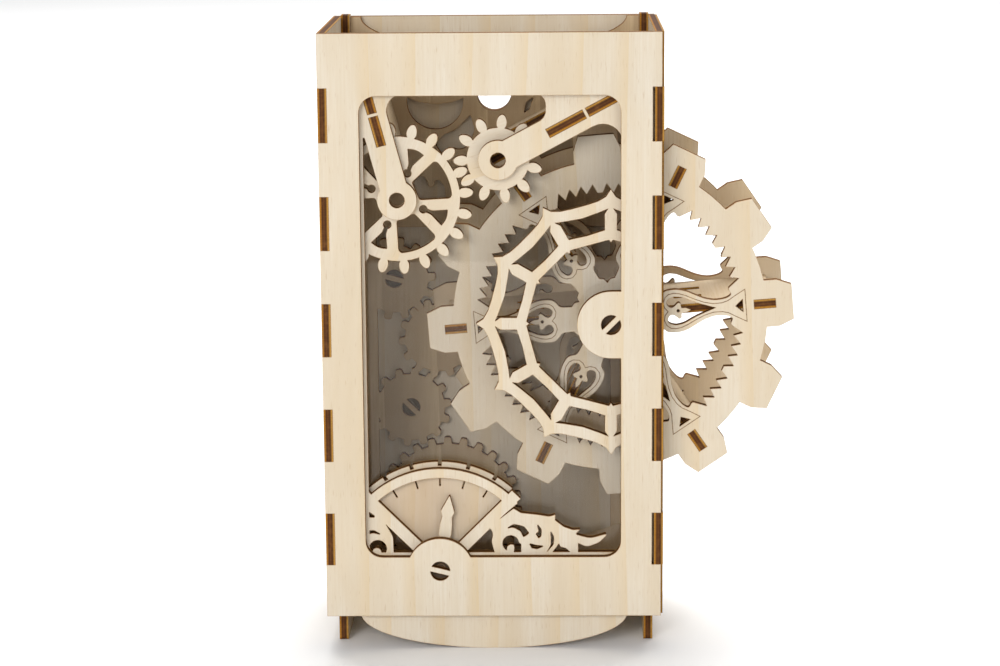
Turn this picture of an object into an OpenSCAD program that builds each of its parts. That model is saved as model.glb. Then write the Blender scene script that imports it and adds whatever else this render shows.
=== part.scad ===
// Laser-cut plywood puzzle model: an open-topped box with a window, a big paddle wheel that
// pokes out of its right side, a pair of meshing gears, a gauge and fretwork behind the window.
// X runs left to right, Y runs to the back, Z is up from the floor. The pieces are drawn with
// Y measured from the front face, then moved so that the round foot stands over the origin.

/* [Sheet] */
// Thickness of the plywood sheet
ply = 3; // [2.6:0.1:3.6]
// Thickness of the clear pane
pane_t = 2; // [1.5:0.1:3]

/* [Box] */
// Width of the front panel
box_w = 110; // [108:1:140]
// Depth of the box, outside
box_d = 75; // [73:1:100]
// Height of the panels
box_h = 192; // [190:1:240]
// Height of the feet under the panels
foot_h = 11.8; // [8:0.1:16]
// Tabs down each upright edge
tab_count = 5; // [3:1:7]
// How far the right side panel stands off its notches
side_gap = 0.7; // [0:0.1:0.9]
// Half the width of the round foot where it leaves the box
foot_arc_half = 44; // [35:0.1:48]
// How far the inner sides' rear posts stand above the box
post_rise = 0.8; // [0:0.1:2]

/* [Window] */
// Width of each upright of the front panel beside the window
stile_w = 13.1; // [11:0.1:15]
// Height of the front panel above the window
rail_top = 20; // [14:0.5:24]
// Height of the front panel below the window
rail_low = 20; // [17:0.5:22]
// Corner radius of the window
window_r = 5.5; // [2:0.1:10]
// Radius of the round bosses that carry the dummy screws
boss_r = 11; // [9:0.1:12]
// Radius of a dummy screw head
screw_r = 3.25; // [2:0.05:4]
// Width of the bar across a dummy screw head
screw_bar = 1.7; // [1:0.1:2.4]

/* [Wheel] */
// Wheel centre, in from the right edge of the front panel
wheel_in = 16.3; // [14:0.1:18]
// Wheel centre above the bottom of the box
wheel_up = 97.5; // [92:0.5:102]
// Radius over the wheel's broad teeth
wheel_tip_r = 60; // [50:0.5:61]
// Radial width of the wheel's ring, to the foot of the broad teeth
ring_w = 7.6; // [6:0.1:9]
// Height of the broad teeth
tooth_h = 8.4; // [6:0.1:10]
// Number of broad teeth
wheel_teeth = 12; // [12:6:18]
// Front face of the front wheel plate, behind the front of the box
wheel_front_y = 15.5; // [15.4:0.1:18]
// Length of the paddles between the two wheel plates
paddle_len = 42.5; // [36:0.5:43]
// Turn of the wheel at rest, in degrees
wheel_turn = 4.5; // [0:0.5:29.5]
// Radius of the wheel's axle
axle_r = 3; // [2:0.1:3.6]

/* [Gears] */
// Teeth of the large gear
large_teeth = 20; // [20:1:20]
// Teeth of the small gear
small_teeth = 11; // [11:1:11]
// Distance between the two gear centres
gear_span = 35.07; // [35:0.01:35.4]
// Distance from the wheel centre to the small gear centre
small_gear_off = 64.5; // [64:0.1:67]
// Inner radius of the hollow bushes
bush_hole_r = 2.5; // [1.5:0.1:3]
// Wall of the hollow bushes
bush_wall = 1.5; // [1:0.1:2]

/* [Gauge] */
// Outer radius of the gauge's arched frame
gauge_r = 33.9; // [30:0.1:35]
// Lean of the needle at rest, in degrees to the right
needle_lean = 7.4; // [0:0.1:12]
// Radius of the needle's pin
needle_pin_r = 1.5; // [1:0.1:2]

/* [Fits] */
// Gap beside a tab in its slot
tab_gap = 0.1; // [0.05:0.01:0.2]
// Radial running gap of a shaft in its bearing
run_gap = 0.08; // [0.03:0.01:0.1]
// Side play of a gear or needle between its neighbours
side_play = 0.2; // [0.1:0.05:0.4]
// Gap round the axle where it only passes through
pass_gap = 1; // [0.5:0.1:2]
// Gap between the wheel's front collar and the pane
collar_front_gap = 1.1; // [0.5:0.1:2]
// Gap between the wheel's back collar and the rear fretwork
collar_back_gap = 2; // [1:0.1:2.4]

/* [Hidden] */
$fn = 96;

birch = "#e8d8b6";
shaded_birch = "#cdb58c";
glue_gap = 0.02;
arc_steps = 8;

// Layers, from the front face back
fret_y = ply;
gear_y = 2 * ply + side_play;
pane_y = 3 * ply + 2 * side_play;
inner_y = pane_y + pane_t + tab_gap;
rear_fret_y = box_d - 2 * ply;
back_y = box_d - ply;
wheel_back_y = wheel_front_y + ply + paddle_len;

// Heights and widths of the box
box_top = foot_h + box_h;
half_w = box_w / 2;
left_in = -half_w + ply;
right_in = half_w - ply + side_gap;
tab_pitch = box_h / (2 * tab_count + 1);
floor_top = foot_h + ply;
foot_flat = 0.1;
post_w = 6;
post_drop = 12;

// Window
win_half = half_w - stile_w;
win_low = foot_h + rail_low;
win_top = box_top - rail_top;

// Wheel
wheel_x = half_w - wheel_in;
wheel_z = foot_h + wheel_up;
ring_r = wheel_tip_r - tooth_h;
ring_in_r = ring_r - ring_w;
saw_h = 2.9;
saw_step = 5;
saw_from = 12;
saw_lean = 1.8;
tooth_root_half = 7.75;
tooth_tip_half = 5.8;
tooth_chamfer = 4.8;
paddle_slot_r = ring_r - 0.7;
paddle_slot_l = 7.2;
paddle_in_r = 8;
collar_r = 7;
spoke_drawn_r = 44;

// Gears
large_pitch_r = gear_span * large_teeth / (large_teeth + small_teeth);
small_pitch_r = gear_span - large_pitch_r;
gear_add = 2.0;
gear_ded = 2.3;
tooth_half = 1.65;
gear_line = 21.4;
small_gear_dir = 124.2;
small_x = wheel_x + small_gear_off * cos(small_gear_dir);
small_z = wheel_z + small_gear_off * sin(small_gear_dir);
large_x = small_x - gear_span * cos(gear_line);
large_z = small_z - gear_span * sin(gear_line);
large_turn = 23;
small_turn = gear_line + 180 - (large_turn - gear_line) * large_teeth / small_teeth
  + 180 / small_teeth;
bush_r = bush_hole_r + bush_wall;

// Arms that carry the gears, and the chute boards in line with them
left_arm_dir = 105;
right_arm_dir = 28;
arm_end_r = 6.4;
left_arm_half = 4.45;
right_arm_half = 4.8;
key_from = 18.15;
key_to = 28;
left_tab = [29, 41];
right_tab_a = [18.15, 31.5];
right_tab_b = [32.5, 44];
left_board = [12, 46];
right_board = [-4, 60];
feed_hole = [3, 28];
feed_front = 10;
feed_back = 10;

// Gauge
gauge_x = -half_w + 37.5;
gauge_z = foot_h + 15.3;
gauge_band = 3.1;
gauge_bar = 3.9;
gauge_side = 45;
dial_r = gauge_r + 1.7;
tick_step = 15.5;

// Round hole through the back
back_hole_r = 5.8;
needle_len = 25.1;
needle_well_r = 10.3;

// Border of the fretwork seen inside the window
fret_left = -win_half + 1.1;
fret_right = win_half + 0.7;
fret_low = win_low + 0.9;
fret_top = small_z + 21.4;
fret_end = small_x + 15.4;

// Web ring of the fretwork
web_tip_r = 43.8;
web_nodes = 12;

// ---- shared shapes -------------------------------------------------------------------------

// A flat piece drawn in X and Z, standing with its front face at y
module upright(y, t = ply) {
  translate([0, y + t, 0]) rotate([90, 0, 0]) linear_extrude(t) children();
}

// A flat piece drawn in Y and Z, standing with its left face at x
module sideways(x, t = ply) {
  translate([x, 0, 0]) rotate([90, 0, 90]) linear_extrude(t) children();
}

// A board that runs back from (x, z), drawn along s at angle dir, and in Y
module sloping(x, z, dir) {
  translate([x, 0, z]) rotate([0, -dir, 0]) translate([0, 0, -ply / 2]) linear_extrude(ply) children();
}

// A rod along Y
module rod(x, z, r, y0, y1) {
  translate([x, y1, z]) rotate([90, 0, 0]) cylinder(r = r, h = y1 - y0);
}

module rect(x0, z0, x1, z1) {
  translate([x0, z0]) square([x1 - x0, z1 - z0]);
}

module dot(x, z, r) {
  translate([x, z]) circle(r);
}

function polar(r, a) = [r * cos(a), r * sin(a)];
function unit(v) = v / norm(v);
function at(p, s, dir) = p + s * [cos(dir), sin(dir)];

// The arc that rounds corner b of the path a, b, c
function rounded_corner(a, b, c, r) =
  let (u = unit(a - b), v = unit(c - b), half = acos(u * v) / 2, mid = b + unit(u + v) * r / sin(half),
    p = b + u * r / tan(half) - mid, q = b + v * r / tan(half) - mid, a0 = atan2(p[1], p[0]),
    turn = atan2(p[0] * q[1] - p[1] * q[0], p * q))
  [for (i = [0:arc_steps]) mid + r * [cos(a0 + turn * i / arc_steps), sin(a0 + turn * i / arc_steps)]];

// A closed outline of corners [x, z, radius]
function rounded(path) = [for (i = [0:len(path) - 1])
  let (n = len(path), a = path[(i + n - 1) % n], b = path[i], c = path[(i + 1) % n])
  each (b[2] > 0 ? rounded_corner([a[0], a[1]], [b[0], b[1]], [c[0], c[1]], b[2]) : [[b[0], b[1]]])];

// A smooth curve through points, in n steps between each two
function spline(p, n) = concat([for (i = [0:len(p) - 2], j = [0:n - 1])
  let (t = j / n, a = p[max(i - 1, 0)], b = p[i], c = p[i + 1], d = p[min(i + 2, len(p) - 1)])
  (2 * b + (c - a) * t + (2 * a - 5 * b + 4 * c - d) * t * t + (3 * b - a - 3 * c + d) * t * t * t) / 2],
  [p[len(p) - 1]]);

// The same corners the other way round, for a piece whose corners were listed clockwise
function reversed(path) = [for (i = [len(path) - 1:-1:0]) path[i]];

module outline(path) {
  polygon(rounded(path));
}

// A bar across the plane from p, along dir
module bar(p, dir, len, half) {
  translate(p) rotate(dir) translate([0, -half]) square([len, 2 * half]);
}

// The two half moons of a slotted screw head
module screw_cut(x, z, dir) {
  difference() {
    dot(x, z, screw_r);
    bar([x, z] - screw_r * 2 * [cos(dir), sin(dir)], dir, 4 * screw_r, screw_bar / 2);
  }
}

// The notches that take a side panel's tabs; x0 and x1 bound them
module tab_notches(x0, x1) {
  for (i = [0:tab_count - 1])
    rect(x0, foot_h + (2 * i + 1) * tab_pitch, x1, foot_h + (2 * i + 2) * tab_pitch);
}

// ---- box -----------------------------------------------------------------------------------

module front_panel() {
  color(birch) upright(0) difference() {
    union() {
      difference() {
        rect(-half_w, foot_h, half_w, box_top);
        outline([[-win_half, win_low, window_r], [win_half, win_low, window_r],
          [win_half, win_top, window_r], [-win_half, win_top, window_r]]);
      }
      dot(gauge_x, gauge_z, boss_r);
      dot(wheel_x, wheel_z, boss_r);
      rect(wheel_x, wheel_z - boss_r, win_half + 1, wheel_z + boss_r);
    }
    tab_notches(-half_w - 1, left_in);
    tab_notches(half_w - ply, half_w + 1);
    screw_cut(gauge_x, gauge_z, -14);
    screw_cut(wheel_x, wheel_z, 45);
  }
}

// A side panel's outline, in Y and Z
module side_outline() {
  rect(ply, foot_h, back_y, box_top);
  for (i = [0:tab_count - 1])
    rect(0, foot_h + (2 * i + 1) * tab_pitch + tab_gap / 2,
      box_d, foot_h + (2 * i + 2) * tab_pitch - tab_gap / 2);
}

module left_side_panel() {
  reach = large_pitch_r + gear_add + 0.6;
  off = large_x - left_in;
  half = off < reach ? sqrt(reach * reach - off * off) + 1 : 0;
  color(birch) sideways(-half_w) difference() {
    side_outline();
    if (half > 0) rect(gear_y - 0.5, large_z - half, gear_y + ply + 0.5, large_z + half);
  }
}

// The opening that the wheel turns in, in Y and Z
module wheel_slot() {
  reach = wheel_tip_r + 2.6;
  outline([[wheel_front_y - 1.4, wheel_z - reach, 2], [wheel_back_y + ply + 1.4, wheel_z - reach, 2],
    [wheel_back_y + ply + 1.4, wheel_z + reach, 2], [wheel_front_y - 1.4, wheel_z + reach, 2]]);
}

module right_side_panel() {
  color(birch) sideways(right_in) difference() {
    side_outline();
    wheel_slot();
  }
}

module back_panel() {
  color(birch) difference() {
    upright(back_y) difference() {
      rect(-half_w, foot_h, half_w, box_top);
      tab_notches(-half_w - 1, left_in);
      tab_notches(half_w - ply, half_w + 1);
      dot(0, small_z + 14.5, back_hole_r);
    }
    rod(wheel_x, wheel_z, axle_r + run_gap, back_y - 1, box_d + 1);
  }
}

// Where the floor's side tabs go, in Y
floor_tabs = [0.16, 0.66];
floor_tab_l = 0.2;
function floor_tab_y(t) = inner_y + t * (rear_fret_y - inner_y);

module floor_panel() {
  color(shaded_birch) translate([0, 0, foot_h]) linear_extrude(ply) {
    rect(left_in + ply + tab_gap, gear_y - side_play, right_in - ply - tab_gap, rear_fret_y);
    for (t = floor_tabs)
      rect(left_in + tab_gap, floor_tab_y(t) + tab_gap,
        right_in - tab_gap, floor_tab_y(t + floor_tab_l) - tab_gap);
  }
}

// An inner side plate's outline, with its long foot and its post at the back, in Y and Z
module inner_side_outline() {
  difference() {
    outline([[inner_y, 0, 1.5], [back_y, 0, 0], [back_y, box_top + post_rise, 0],
      [back_y - post_w, box_top + post_rise, 0], [back_y - post_w, box_top - post_drop, 3],
      [inner_y, box_top - post_drop, 6]]);
    for (t = floor_tabs)
      rect(floor_tab_y(t), foot_h, floor_tab_y(t + floor_tab_l), foot_h + ply);
  }
}

module left_inner_side() {
  color(shaded_birch) sideways(left_in) inner_side_outline();
}

module right_inner_side() {
  color(shaded_birch) sideways(right_in - ply) difference() {
    inner_side_outline();
    wheel_slot();
  }
}

// ---- fretwork behind the front panel ---------------------------------------------------------

// The opening of the fretwork, which leaves the two arms
module fret_opening() {
  l = [large_x, large_z];
  s = [small_x, small_z];
  left_a = at(l, left_arm_half, left_arm_dir - 90);
  left_b = at(l, left_arm_half, left_arm_dir + 90);
  low = at(s, right_arm_half, right_arm_dir - 90);
  high = at(s, right_arm_half, right_arm_dir + 90);
  slope = tan(right_arm_dir);
  lean = 1 / tan(left_arm_dir);
  outline([
    [fret_left, fret_low, 2], [fret_right, fret_low, 2],
    [fret_right, low[1] + slope * (fret_right - low[0]), 6.5],
    [low[0], low[1], 0], [high[0], high[1], 0],
    [fret_end, high[1] + slope * (fret_end - high[0]), 3.8],
    [fret_end, fret_top, 3.6],
    [left_a[0] + lean * (fret_top - left_a[1]), fret_top, 5.3],
    [left_a[0], left_a[1], 0], [left_b[0], left_b[1], 0],
    [left_b[0] + lean * 21.4, left_b[1] + 21.4, 0], [fret_left, left_b[1] + 21.4, 0]]);
}

// One cell of the web, between the spokes at 0 and one step on
module web_cell(step) {
  half = 1.95;
  r_out = 37.1;
  r_in = 30.6;
  a_out = asin(half / r_out);
  a_in = asin(half / r_in);
  polygon([
    polar(r_in, a_in), polar(r_in - 0.9, step / 2), polar(r_in, step - a_in),
    polar(r_out - 1.2, step - a_out * 1.05), polar(r_out + 0.5, step - a_out * 0.4),
    polar(r_out - 0.5, step - a_out * 1.9), polar(r_out - 1.5, step / 2),
    polar(r_out - 0.5, a_out * 1.9), polar(r_out + 0.5, a_out * 0.4), polar(r_out - 1.2, a_out * 1.05)]);
}

module web_ring() {
  step = 360 / web_nodes;
  inner = 27.4;
  difference() {
    polygon([for (k = [0:web_nodes - 1]) each [
      polar(web_tip_r, k * step), polar(web_tip_r - 2.4, k * step + 2.2),
      polar(web_tip_r - 3.7, k * step + 6), polar(web_tip_r - 4.3, k * step + 11),
      polar(web_tip_r - 4.3, (k + 1) * step - 11), polar(web_tip_r - 3.7, (k + 1) * step - 6),
      polar(web_tip_r - 2.4, (k + 1) * step - 2.2)]]);
    polygon([for (k = [0:web_nodes - 1]) each [
      polar(inner - 0.9, k * step), polar(inner, k * step + 1.4), polar(inner, (k + 1) * step - 1.4)]]);
    for (k = [0:web_nodes - 1]) rotate(k * step) web_cell(step);
  }
}

// A slice of a round plate between two angles, drawn from its centre
module slice(r, a0, a1) {
  steps = 24;
  polygon(concat([[0, 0]], [for (i = [0:steps]) polar(r, a0 + (a1 - a0) * i / steps)]));
}

// The gauge's arched frame, drawn from its pivot
module gauge_frame() {
  difference() {
    union() {
      slice(gauge_r, 90 - gauge_side - 4, 90 + gauge_side + 4);
      for (a = [90 - gauge_side, 90 + gauge_side]) bar([0, 0], a, gauge_r + 1.6, gauge_bar / 2);
    }
    intersection() {
      translate([0, gauge_bar / 2 / sin(gauge_side)]) slice(gauge_r * 2, 90 - gauge_side, 90 + gauge_side);
      circle(gauge_r - gauge_band);
    }
  }
}

// The large leaf scroll, drawn from the gauge's pivot
module right_scroll() {
  difference() {
    outline(reversed([[16, 14, 0], [24.2, 20.4, 0.6], [26.6, 18.9, 1], [32, 18.3, 6], [36.2, 17.6, 4],
      [38, 18.4, 0.3], [37.8, 16.4, 0.6], [40.6, 14.2, 3], [43.6, 13.1, 2], [46, 13.2, 0],
      [44.4, 11.6, 0.4], [49.4, 10.2, 6], [55.3, 11.9, 0.3], [52.4, 8.9, 4], [48.3, 7.3, 3],
      [45.4, 8.6, 0], [45.4, 5, 0], [18, 5, 0], [16.8, 9.5, 4], [18, 13, 3]]));
    outline([[21.2, 13.3, 0.2], [24.2, 15.2, 2], [27.6, 14.4, 2], [29.4, 12, 0.5], [27.4, 10.6, 0.4],
      [26.4, 12.7, 1.4], [24, 14.1, 2]]);
    difference() {
      dot(23.2, 8.6, 2.7);
      dot(23.4, 6.7, 1.5);
    }
    outline([[24, 8.8, 0.3], [26.6, 8.6, 0.5], [26.6, 5.2, 0], [24.2, 5.2, 0], [24.4, 7.2, 0.4]]);
    outline([[31.8, 15.4, 0.2], [33.4, 13.4, 1.4], [33.3, 11, 1], [32.4, 10.2, 0.3], [31.4, 11.8, 0.3],
      [32.4, 12.6, 0.5]]);
    outline([[29.1, 8.7, 0.3], [31.6, 8, 1], [34.4, 7.7, 0.2], [31.9, 6.6, 1], [30.1, 6.9, 0.6]]);
    outline([[36.2, 13.2, 0.2], [37.5, 10.7, 2], [37.3, 8.1, 2], [35, 5.5, 0], [36.4, 8, 2],
      [36.4, 10.8, 2]]);
    outline([[36.8, 5.4, 0], [38.3, 7.4, 0.2], [39, 8.6, 0.2], [39.6, 7.4, 0.4], [41.4, 6.9, 0.3],
      [43, 5.4, 0]]);
  }
}

// The small leaf scroll at the left, drawn from the gauge's pivot
module left_scroll() {
  difference() {
    outline(reversed([[-24.4, 5, 0], [-24.4, 22, 0], [-20.5, 19.5, 0], [-17.6, 14.6, 1],
      [-15.6, 11, 4], [-15.4, 5, 0]]));
    outline([[-24.4, 20.2, 0], [-20.6, 17.4, 0.4], [-24.4, 17.6, 0]]);
    outline([[-24.4, 13, 0], [-21.8, 13.2, 2], [-18.8, 11.4, 0.2], [-22, 12.2, 2], [-24.4, 11.6, 0]]);
    difference() {
      dot(-20.6, 6.9, 2.9);
      dot(-21, 5.6, 1.5);
    }
    outline([[-24.4, 7.6, 0], [-22.6, 8, 0.4], [-22.6, 6, 0.4], [-24.4, 5.4, 0]]);
  }
}

module fretwork_plate() {
  color(birch) difference() {
    upright(fret_y) difference() {
      union() {
        difference() {
          rect(left_in + tab_gap, foot_h, right_in - tab_gap, box_top - ply);
          fret_opening();
        }
        intersection() {
          translate([0, foot_h]) polygon([for (i = [0:36])
            [foot_arc_half * cos(180 + 5 * i), (foot_h + foot_flat) * sin(180 + 5 * i)]]);
          rect(-half_w, 0, half_w, foot_h + 1);
        }
        dot(large_x, large_z, arm_end_r);
        dot(small_x, small_z, arm_end_r);
        intersection() {
          translate([wheel_x, wheel_z]) web_ring();
          rect(-half_w, foot_h, fret_right + 2, box_top - ply);
        }
        dot(wheel_x, wheel_z, boss_r - 0.6);
        rect(wheel_x, wheel_z - boss_r + 0.6, fret_right + 1, wheel_z + boss_r - 0.6);
        translate([gauge_x, gauge_z]) intersection() {
          union() {
            gauge_frame();
            left_scroll();
            right_scroll();
          }
          rect(fret_left - gauge_x - 1, 0, fret_right - gauge_x + 1, 2 * gauge_r);
        }
      }
      dot(gauge_x, gauge_z, needle_well_r);
      translate([gauge_x, gauge_z]) intersection() {
        translate([0, gauge_bar / 2 / sin(gauge_side)]) slice(gauge_r, 90 - gauge_side, 90 + gauge_side);
        circle(gauge_r - gauge_band - 1);
      }
      bar(at([large_x, large_z], key_from, left_arm_dir), left_arm_dir, key_to - key_from,
        ply / 2 + tab_gap);
      bar(at([large_x, large_z], left_tab[0], left_arm_dir), left_arm_dir, left_tab[1] - left_tab[0],
        ply / 2 + tab_gap);
      for (t = [right_tab_a, right_tab_b])
        bar(at([small_x, small_z], t[0], right_arm_dir), right_arm_dir, t[1] - t[0], ply / 2 + tab_gap);
    }
    rod(wheel_x, wheel_z, axle_r + run_gap, fret_y - 1, fret_y + ply + 1);
    rod(large_x, large_z, bush_hole_r, fret_y - 1, fret_y + ply + 1);
    rod(small_x, small_z, bush_hole_r, fret_y - 1, fret_y + ply + 1);
  }
}

// ---- rear fretwork ---------------------------------------------------------------------------

// A flat gear shape with square-shouldered teeth
module gear_shape(x, z, tip_r, root_r, teeth, turn) {
  step = 360 / teeth;
  translate([x, z]) rotate(turn) polygon([for (k = [0:teeth - 1]) each [
    polar(root_r, (k - 0.27) * step), polar(tip_r - 0.4, (k - 0.2) * step),
    polar(tip_r, (k - 0.1) * step), polar(tip_r, (k + 0.1) * step),
    polar(tip_r - 0.4, (k + 0.2) * step), polar(root_r, (k + 0.27) * step)]]);
}

// The shallow elliptical dip in the top edge of the rear fretwork
module top_dip() {
  half = half_w - 9.5;
  dip = 11;
  translate([0, box_top]) polygon([for (i = [0:36]) [half * cos(180 + 5 * i), dip * sin(180 + 5 * i)]]);
}

module rear_fretwork() {
  hub_a = [-half_w + 19.7, foot_h + 101.1];
  hub_b = [-half_w + 35, foot_h + 80.1];
  hub_c = [-half_w + 25, foot_h + 55.4];
  hub_d = [-half_w + 38, foot_h + 18.8];
  color(shaded_birch) difference() {
    upright(rear_fret_y) difference() {
      union() {
        difference() {
          rect(left_in + ply + tab_gap, foot_h, right_in - ply - tab_gap, box_top);
          outline([[-half_w + 13.7, foot_h + 5, 2], [half_w - 15.1, foot_h + 5, 2],
            [half_w - 15.1, small_z - 31.5, 4], [-half_w + 13.7, small_z - 31.5, 4]]);
          top_dip();
        }
        intersection() {
          union() {
            gear_shape(hub_a[0], hub_a[1], 14.5, 11.9, 14, 2.8);
            gear_shape(hub_b[0], hub_b[1], 14, 11.9, 14, 4.7);
            gear_shape(hub_c[0], hub_c[1], 14, 11.9, 14, 6.2);
            gear_shape(hub_d[0], hub_d[1], 25.7, 23.3, 27, 10.8);
          }
          rect(left_in + ply + tab_gap, foot_h, half_w, box_top);
        }
      }
      screw_cut(hub_a[0], hub_a[1], -15);
      screw_cut(hub_b[0], hub_b[1], 30);
      screw_cut(hub_c[0], hub_c[1], -45);
      dot(0, small_z + 14.5, back_hole_r);
      translate([small_x, small_z]) {
        // Crescents round the hole
        difference() {
          dot(-22.8, 12.1, 9.7);
          dot(-22.4, 34.8, 23.6);
        }
        outline([[-10.6, 7.4, 0.3], [-9.2, 2, 5], [-12.5, -5.6, 4], [-17.2, -4, 1], [-21, -5.8, 0.5],
          [-22.9, -2.8, 1], [-20, 0.6, 2], [-16.2, 2, 3]]);
        outline([[7.6, 7.6, 0.3], [8.4, 11.6, 1.5], [11.4, 13.8, 0.3], [10.3, 11.4, 1], [9.8, 9.4, 0.4]]);
        outline([[-31.2, -17.2, 2], [-27.4, -11.6, 2], [-25.6, -16, 1], [-25.4, -18.6, 1], [-23.4, -17, 1],
          [-22.8, -13.8, 1], [-19.8, -17.4, 2], [-19.4, -22.4, 1], [-29, -22.4, 1]]);
      }
      bar(at([large_x, large_z], left_tab[0], left_arm_dir), left_arm_dir, left_tab[1] - left_tab[0],
        ply / 2 + tab_gap);
      bar(at([small_x, small_z], right_tab_b[0], right_arm_dir), right_arm_dir,
        right_tab_b[1] - right_tab_b[0], ply / 2 + tab_gap);
    }
    rod(wheel_x, wheel_z, axle_r + pass_gap, rear_fret_y - 1, back_y + 1);
  }
}

// ---- pane and spacers ------------------------------------------------------------------------

module clear_pane() {
  color("lightblue", 0.35) difference() {
    upright(pane_y, pane_t) difference() {
      rect(left_in + tab_gap, floor_top, right_in - tab_gap, box_top - rail_top / 2);
      bar(at([large_x, large_z], left_tab[0], left_arm_dir), left_arm_dir, left_tab[1] - left_tab[0],
        ply / 2 + tab_gap);
      for (t = [right_tab_a, right_tab_b])
        bar(at([small_x, small_z], t[0], right_arm_dir), right_arm_dir, t[1] - t[0], ply / 2 + tab_gap);
    }
    rod(wheel_x, wheel_z, axle_r + pass_gap, pane_y - 1, pane_y + pane_t + 1);
  }
}

// A strip between the fretwork and the pane, hidden behind the front panel's upright
module spacer(x0, x1, z0, z1) {
  color(shaded_birch) upright(fret_y + ply, ply + 2 * side_play) rect(x0, z0, x1, z1);
}

spacer_w = 7;
gear_clear = large_pitch_r + gear_add + 1.4;

module left_lower_spacer() {
  spacer(left_in + tab_gap, left_in + spacer_w, floor_top, large_z - gear_clear);
}

module left_upper_spacer() {
  spacer(left_in + tab_gap, left_in + spacer_w, large_z + gear_clear, box_top - rail_top / 2);
}

module right_spacer() {
  spacer(right_in - spacer_w, right_in - tab_gap, floor_top, box_top - rail_top / 2);
}

// ---- gears -----------------------------------------------------------------------------------

// One leaf-shaped tooth on the X axis, from below the root to the tip
module leaf_tooth(root_r, tip_r, half) {
  mid = (root_r + tip_r) / 2 - 0.3;
  long = tip_r - mid;
  polygon([for (i = [0:23]) [mid + long * cos(15 * i), half * sin(15 * i) * (1 - 0.12 * cos(15 * i))]]);
}

module leaf_gear(teeth, pitch_r, turn, half) {
  root_r = pitch_r - gear_ded;
  rotate(turn) {
    circle(root_r);
    for (k = [0:teeth - 1]) rotate(k * 360 / teeth) leaf_tooth(root_r, pitch_r + gear_add, half);
  }
}

// A window of the large gear, centred on the X axis
module gear_window() {
  steps = 12;
  polygon(rounded(concat([[7.2 * cos(26), -7.2 * sin(26), 1], [17.2 * cos(22.5), -17.2 * sin(22.5), 1.4]],
    [for (i = [1:steps - 1]) let (a = -22.5 + 45 * i / steps) [17.7 * cos(a), 17.7 * sin(a), 0]],
    [[17.2 * cos(22.5), 17.2 * sin(22.5), 1.4], [7.2 * cos(26), 7.2 * sin(26), 1]])));
}

// A keyhole of the large gear, on the X axis
module gear_keyhole() {
  dot(9, 0, 1.35);
  outline([[9.2, -0.55, 0], [12, -0.7, 3], [16.4, -2.8, 0.2], [17.3, 0, 6], [16.4, 2.8, 0.2],
    [12, 0.7, 3], [9.2, 0.55, 0]]);
}

module large_gear() {
  color(birch) difference() {
    upright(gear_y) translate([large_x, large_z]) difference() {
      leaf_gear(large_teeth, large_pitch_r, large_turn, tooth_half);
      for (k = [0:3]) rotate(23 + 90 * k) gear_window();
      for (k = [0:3]) rotate(68 + 90 * k) gear_keyhole();
    }
    rod(large_x, large_z, bush_r + run_gap, gear_y - 1, gear_y + ply + 1);
  }
}

module small_gear() {
  color(birch) difference() {
    upright(gear_y) translate([small_x, small_z])
      leaf_gear(small_teeth, small_pitch_r, small_turn, tooth_half);
    rod(small_x, small_z, bush_r + run_gap, gear_y - 1, gear_y + ply + 1);
  }
}

// The hollow bush that a gear turns on, glued to the back of its arm
module gear_bush(x, z) {
  color(shaded_birch) difference() {
    rod(x, z, bush_r, fret_y + ply, pane_y);
    rod(x, z, bush_hole_r, fret_y + ply - 1, pane_y + 1);
  }
}

module large_gear_bush() {
  gear_bush(large_x, large_z);
}

module small_gear_bush() {
  gear_bush(small_x, small_z);
}

// ---- gauge -----------------------------------------------------------------------------------

module dial_plate() {
  color(shaded_birch) difference() {
    upright(fret_y + ply) translate([gauge_x, gauge_z]) difference() {
      union() {
        slice(dial_r, 90 - gauge_side + 3, 90 + gauge_side - 3);
        circle(9);
      }
      for (k = [-2:2]) rotate(90 + k * tick_step) {
        rect(gauge_r - gauge_band - 3.4, -0.25, gauge_r - gauge_band - 0.2, 0.25);
        rect(gauge_r + 0.3, -0.6, gauge_r + 5, 0.6);
      }
      rect(-gauge_r, -gauge_r, gauge_r, floor_top - gauge_z);
      // Clear of the spacer at the left
      rect(-2 * gauge_r, -gauge_r, left_in + spacer_w + 1 - gauge_x, gauge_r * 2);
    }
    rod(gauge_x, gauge_z, needle_pin_r + glue_gap, fret_y + ply - 1, fret_y + 2 * ply + 1);
  }
}

module needle() {
  color(birch) difference() {
    upright(fret_y + side_play, ply - 2 * side_play) translate([gauge_x, gauge_z]) {
      circle(5);
      rotate(90 - needle_lean) outline([[0, -1.5, 0], [10.5, -1.6, 2], [11.4, -2.1, 0.6], [15, -2, 4],
        [17.9, -1.6, 1], [19.4, -2.3, 0.8], [needle_len, 0, 0.2], [19.4, 2.3, 0.8], [17.9, 1.6, 1],
        [15, 2, 4], [11.4, 2.1, 0.6], [10.5, 1.6, 2], [0, 1.5, 0]]);
    }
    rod(gauge_x, gauge_z, needle_pin_r + run_gap, fret_y, fret_y + ply);
  }
}

module needle_pin() {
  color(shaded_birch) rod(gauge_x, gauge_z, needle_pin_r, ply, fret_y + 2 * ply);
}

// ---- chute boards and ramp -------------------------------------------------------------------

// The space inside the box that the boards are trimmed to
module inside(y0, y1) {
  translate([left_in + ply + tab_gap, y0, floor_top])
    cube([right_in - left_in - 2 * (ply + tab_gap), y1 - y0, box_h - 2 * ply]);
}

module left_chute_board() {
  color(birch) intersection() {
    sloping(large_x, large_z, left_arm_dir) {
      rect(left_board[0], inner_y, left_board[1], rear_fret_y);
      rect(left_tab[0] + tab_gap, fret_y, left_tab[1] - tab_gap, back_y);
    }
    inside(0, box_d);
  }
}

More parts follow.
